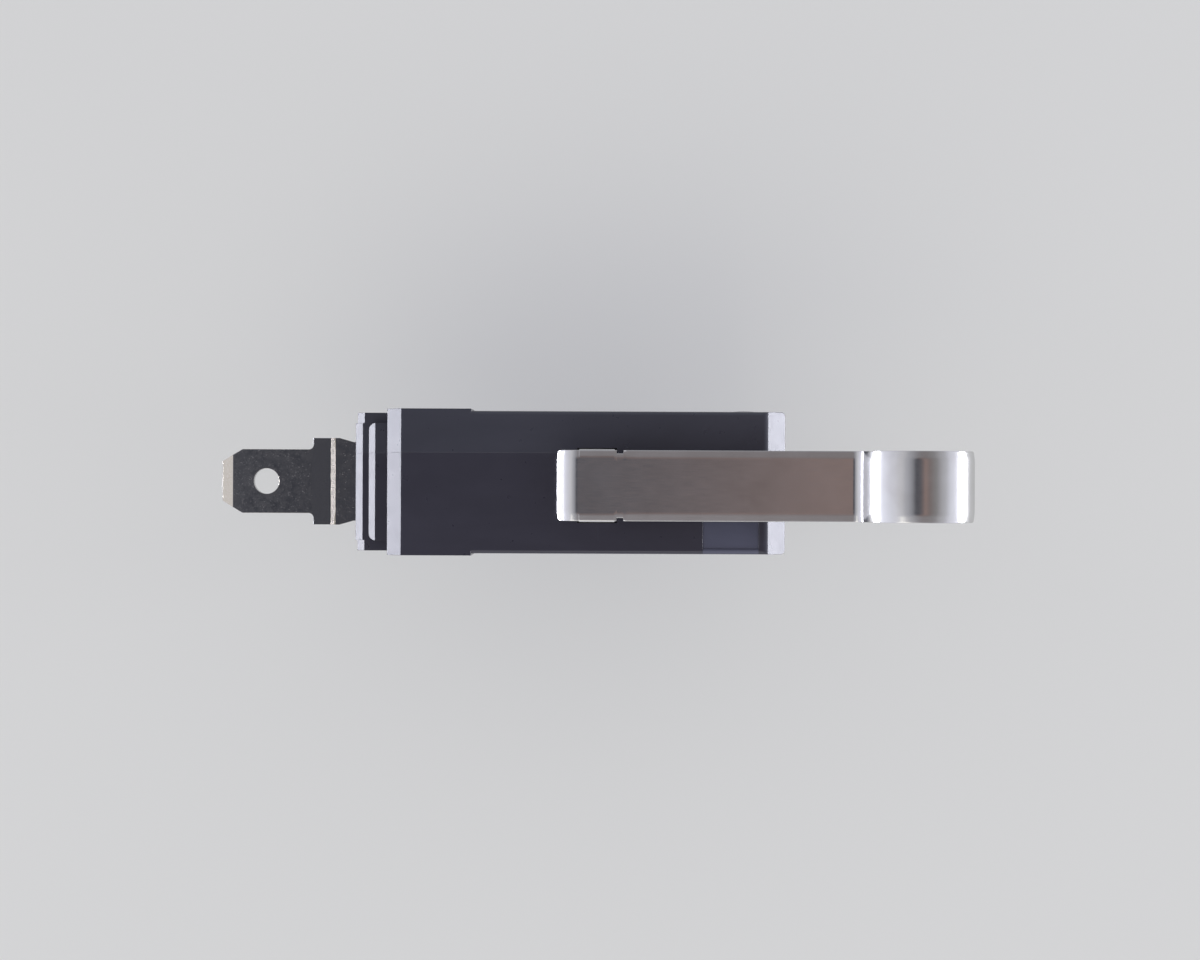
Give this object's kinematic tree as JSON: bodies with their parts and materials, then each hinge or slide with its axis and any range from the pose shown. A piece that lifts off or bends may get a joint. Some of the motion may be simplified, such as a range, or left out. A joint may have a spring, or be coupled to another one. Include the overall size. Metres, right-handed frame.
{
  "type": "micro switch",
  "caption": "Snap-action micro switch in a black moulded case, with a hinged steel lever ending in a rounded hump and flat quick-connect tabs.",
  "frame": {"origin": "midway between the two mounting holes, in the middle of the case's thickness", "axes": "+X from the common tab to the lever's free end, +Y along the mounting holes towards the cover, +Z from the bottom tabs up to the lever"},
  "size_m": [0.0537, 0.0102, 0.0291],
  "materials": {
    "case_plastic": "satin moulded",
    "cover_plastic": "satin moulded",
    "lever_steel": "bright rolled, tumbled edges",
    "pin_steel": "drawn",
    "plunger_plastic": "satin moulded",
    "terminal_metal": "tinned",
    "contact_silver": "polished",
    "arm_copper": "rolled",
    "arm_steel": "rolled",
    "spring_steel": "drawn"
  },
  "bodies": {
    "housing": {"case": "case_plastic", "cover": "cover_plastic", "pivot_pin": "pin_steel", "com_terminal": "terminal_metal", "no_terminal": "terminal_metal", "nc_terminal": "terminal_metal", "no_contact": "contact_silver", "nc_contact": "contact_silver"},
    "lever": {"lever": "lever_steel"},
    "plunger": {"plunger": "plunger_plastic"},
    "actuating_arm": {"actuating_arm": "arm_steel"},
    "contact_arm": {"contact_arm": "arm_copper", "moving_contact": "contact_silver", "tension_spring": "spring_steel"}
  },
  "joints": [
    {"name": "lever_hinge", "type": "hinge", "parent": "housing", "child": "lever", "pos_m": [0.00075, -0.0002, 0.00855], "axis": [0, 1, 0], "range_deg": [0, 8.2], "stiffness_Nm_per_rad": 0.02, "springref_deg": -14.32},
    {"name": "plunger_slide", "type": "slide", "parent": "housing", "child": "plunger", "axis": [0, 0, -1], "range_m": [0, 0.000775]},
    {"name": "actuating_arm_rock", "type": "hinge", "parent": "housing", "child": "actuating_arm", "pos_m": [-0.0066, 0, 0.00385], "axis": [0, 1, 0], "range_deg": [0, 3.53]},
    {"name": "contact_arm_rock", "type": "hinge", "parent": "housing", "child": "contact_arm", "pos_m": [-0.0066, 0, 0.00105], "axis": [0, 1, 0], "range_deg": [0, 3.71]}
  ],
  "couplings": [
    {"joint": "plunger_slide", "follows": "lever_hinge", "m_per_rad": 0.0054124},
    {"joint": "actuating_arm_rock", "follows": "lever_hinge", "ratio": 0.42951},
    {"joint": "contact_arm_rock", "follows": "lever_hinge", "ratio": 0.45233}
  ]
}
